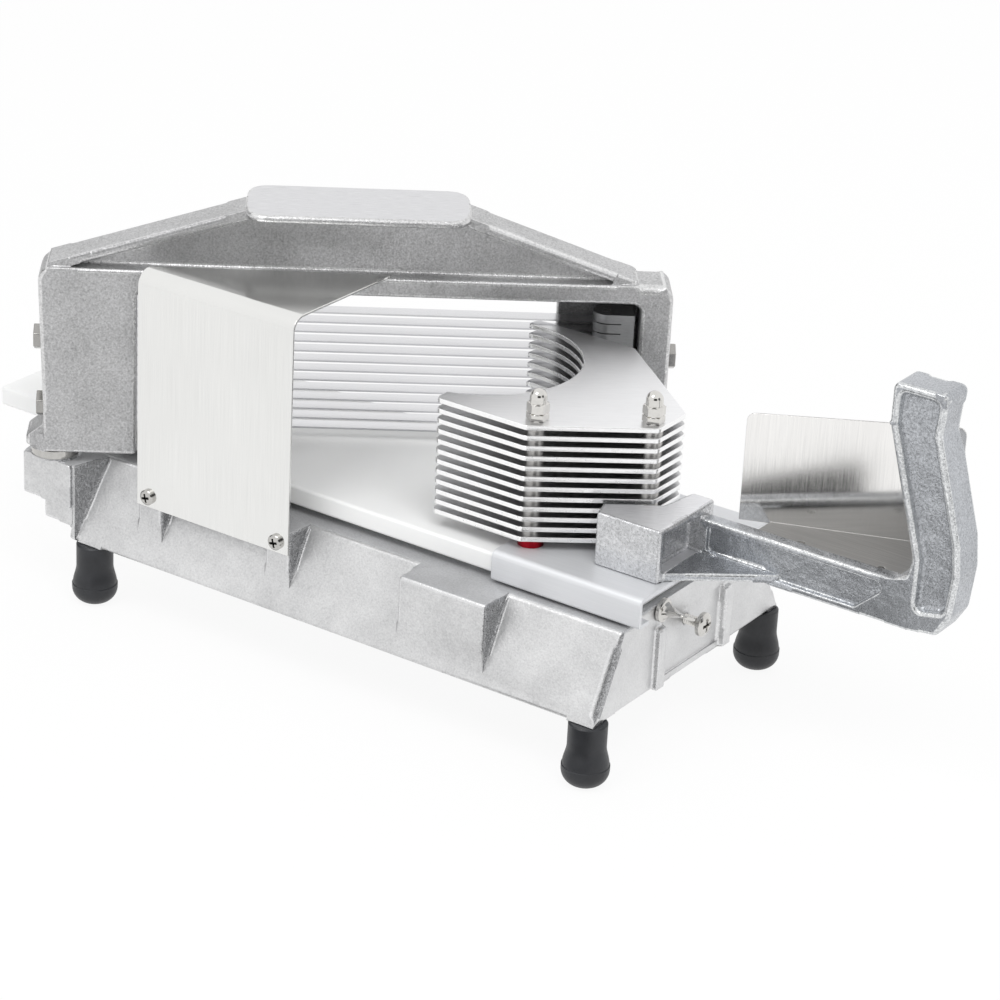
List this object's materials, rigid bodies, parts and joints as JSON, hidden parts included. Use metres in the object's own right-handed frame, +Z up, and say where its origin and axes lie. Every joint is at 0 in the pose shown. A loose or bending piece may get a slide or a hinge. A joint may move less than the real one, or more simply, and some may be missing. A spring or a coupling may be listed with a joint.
{
  "type": "tomato slicer",
  "caption": "Countertop tomato slicer: a finned pusher on a sliding carriage, moved by an upright handle, presses fruit through a slanted stack of fixed blades.",
  "frame": {"origin": "on the bench, midway between the four feet", "axes": "+X along the slide board towards the handle, +Y to the side away from the front guard, +Z up"},
  "size_m": [0.6429, 0.2586, 0.261],
  "materials": {
    "cast_base": "as-cast aluminium, light grey, fine grain",
    "cast_frame": "as-cast aluminium, mid grey, coarse grain, brushed top plate",
    "cast_handle": "as-cast aluminium, mid grey, ground faces",
    "white_plastic": "white plastic, satin",
    "black_rubber": "black moulded rubber, satin",
    "channel_aluminium": "satin aluminium",
    "fin_aluminium": "satin aluminium, lightly brushed",
    "guard_aluminium": "brushed aluminium sheet, upright grain",
    "guard_stainless": "brushed stainless sheet",
    "blade_steel": "ground stainless blade",
    "holder_steel": "dull machined steel",
    "bright_steel": "nickel-plated steel",
    "red_bush": "red anodised"
  },
  "bodies": {
    "base": {"base_casting": "cast_base", "blade_frame": "cast_frame", "slide_board": "white_plastic", "foot_left_near": "black_rubber", "foot_left_far": "black_rubber", "foot_right_near": "black_rubber", "foot_right_far": "black_rubber", "front_guard": "guard_aluminium", "blade_1": "blade_steel", "blade_2": "blade_steel", "blade_3": "blade_steel", "blade_4": "blade_steel", "blade_5": "blade_steel", "blade_6": "blade_steel", "blade_7": "blade_steel", "blade_8": "blade_steel", "blade_9": "blade_steel", "blade_10": "blade_steel", "blade_11": "blade_steel", "blade_12": "blade_steel", "blade_13": "blade_steel", "holder_left": "holder_steel", "holder_right": "holder_steel", "tension_bolts": "holder_steel", "foot_studs": "bright_steel", "board_screws": "bright_steel", "pin_left": "bright_steel", "pin_right": "bright_steel", "frame_spacers": "bright_steel", "frame_studs": "bright_steel", "guard_screws": "bright_steel", "stop_screw": "bright_steel"},
    "carriage": {"carriage_channel": "channel_aluminium", "fin_1": "fin_aluminium", "fin_2": "fin_aluminium", "fin_3": "fin_aluminium", "fin_4": "fin_aluminium", "fin_5": "fin_aluminium", "fin_6": "fin_aluminium", "fin_7": "fin_aluminium", "fin_8": "fin_aluminium", "fin_9": "fin_aluminium", "fin_10": "fin_aluminium", "fin_11": "fin_aluminium", "fin_12": "fin_aluminium", "fin_spacers": "bright_steel", "stud_near": "bright_steel", "stud_far": "bright_steel", "fin_bushes": "red_bush", "jam_nuts": "bright_steel", "acorn_nuts": "bright_steel", "handle_casting": "cast_handle", "handle_screws": "bright_steel", "rear_guard": "guard_stainless", "rear_guard_screws": "bright_steel"},
    "thumb_screw": {"thumb_screw": "bright_steel"}
  },
  "joints": [
    {"name": "carriage_slide", "type": "slide", "parent": "base", "child": "carriage", "axis": [-1, 0, 0], "range_m": [0, 0.21]},
    {"name": "thumb_screw_turn", "type": "hinge", "parent": "base", "child": "thumb_screw", "pos_m": [0.191, -0.0365, 0.091], "axis": [1, 0, 0], "continuous": true}
  ]
}
